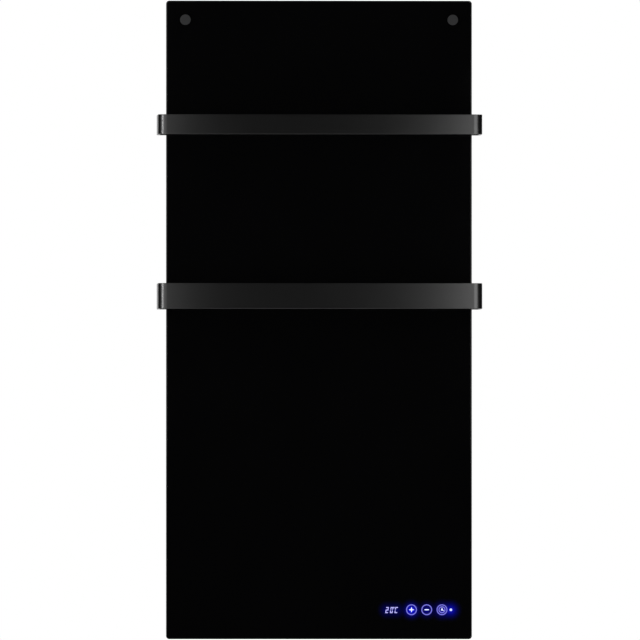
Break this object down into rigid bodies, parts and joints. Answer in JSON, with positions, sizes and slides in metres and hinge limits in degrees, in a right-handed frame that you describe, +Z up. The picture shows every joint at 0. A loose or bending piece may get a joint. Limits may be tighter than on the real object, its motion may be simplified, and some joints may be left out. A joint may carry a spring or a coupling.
{
  "type": "bathroom heater",
  "caption": "Wall-hung infrared bathroom heater: tall black glass panel with flat towel rails across its front, touch controls at the lower right and a power switch on its side.",
  "frame": {"origin": "centre of the wall rail's rear face, on the wall plane, level with the two stand-offs near the glass's top corners", "axes": "+Z up, the glass faces -Y, +Y points into the wall, +X to the right as seen from the front"},
  "size_m": [0.5076, 0.115, 1],
  "materials": {
    "black_glass": "polished, printed black behind",
    "rail_coating": "satin black",
    "cap_coating": "satin dark grey",
    "zinc_steel": "zinc plated",
    "tray_coating": "fine textured charcoal",
    "black_plastic": "fine moulded grain",
    "black_rubber": "matt",
    "clear_silicone": "translucent",
    "mica": "flaky sheet",
    "heating_alloy": "rolled ribbon",
    "insulation": "fibre board",
    "ceramic": "matt",
    "circuit_board": "green lacquer",
    "clear_guide": "clear moulding",
    "touch_film": "amber film",
    "relay_blue": "moulded",
    "coil_tape": "tape",
    "terminal_green": "moulded",
    "white_plastic": "moulded",
    "live_lead": "insulated wire",
    "neutral_lead": "insulated wire"
  },
  "bodies": {
    "panel": {"front_glass": "black_glass", "wall_rail": "zinc_steel", "standoff_barrel_left": "zinc_steel", "standoff_barrel_right": "zinc_steel", "standoff_stud_left": "zinc_steel", "standoff_stud_right": "zinc_steel", "glass_bush_left": "black_rubber", "glass_bush_right": "black_rubber", "front_washer_left": "clear_silicone", "front_washer_right": "clear_silicone", "cap_left": "cap_coating", "cap_right": "cap_coating", "wall_spacer_left": "black_plastic", "wall_spacer_right": "black_plastic", "spacer_pad_left": "black_rubber", "spacer_pad_right": "black_rubber", "mica_sheet_front": "mica", "mica_sheet_rear": "mica", "insulation_board": "insulation", "heating_element": "heating_alloy", "thermal_cutout": "ceramic", "tray_gasket": "black_rubber", "rear_tray": "tray_coating", "towel_rail_upper": "rail_coating", "towel_rail_lower": "rail_coating", "rail_screw_upper_left_top": "zinc_steel", "rail_screw_upper_left_bottom": "zinc_steel", "rail_screw_upper_right_top": "zinc_steel", "rail_screw_upper_right_bottom": "zinc_steel", "rail_screw_lower_left_top": "zinc_steel", "rail_screw_lower_left_bottom": "zinc_steel", "rail_screw_lower_right_top": "zinc_steel", "rail_screw_lower_right_bottom": "zinc_steel", "control_housing": "black_plastic", "control_cover": "black_plastic", "cover_screw_1": "zinc_steel", "cover_screw_2": "zinc_steel", "cover_screw_3": "zinc_steel", "cover_screw_4": "zinc_steel", "display_board": "circuit_board", "display_module": "black_plastic", "touch_film": "touch_film", "light_guide_plus": "clear_guide", "light_guide_minus": "clear_guide", "light_guide_timer": "clear_guide", "status_led": "clear_guide", "power_board": "circuit_board", "relay": "relay_blue", "transformer": "coil_tape", "terminal_block": "terminal_green", "cable_gland": "black_rubber", "room_sensor": "white_plastic", "wire_grommet": "black_rubber", "lead_live": "live_lead", "lead_neutral": "neutral_lead", "lead_link": "live_lead", "switch_body": "black_plastic"},
    "rocker": {"power_rocker": "black_plastic"}
  },
  "joints": [
    {"name": "power_rocker", "type": "hinge", "parent": "panel", "child": "rocker", "pos_m": [0.223, -0.024, -0.921], "axis": [0, 1, 0], "range_deg": [0, 24]}
  ]
}
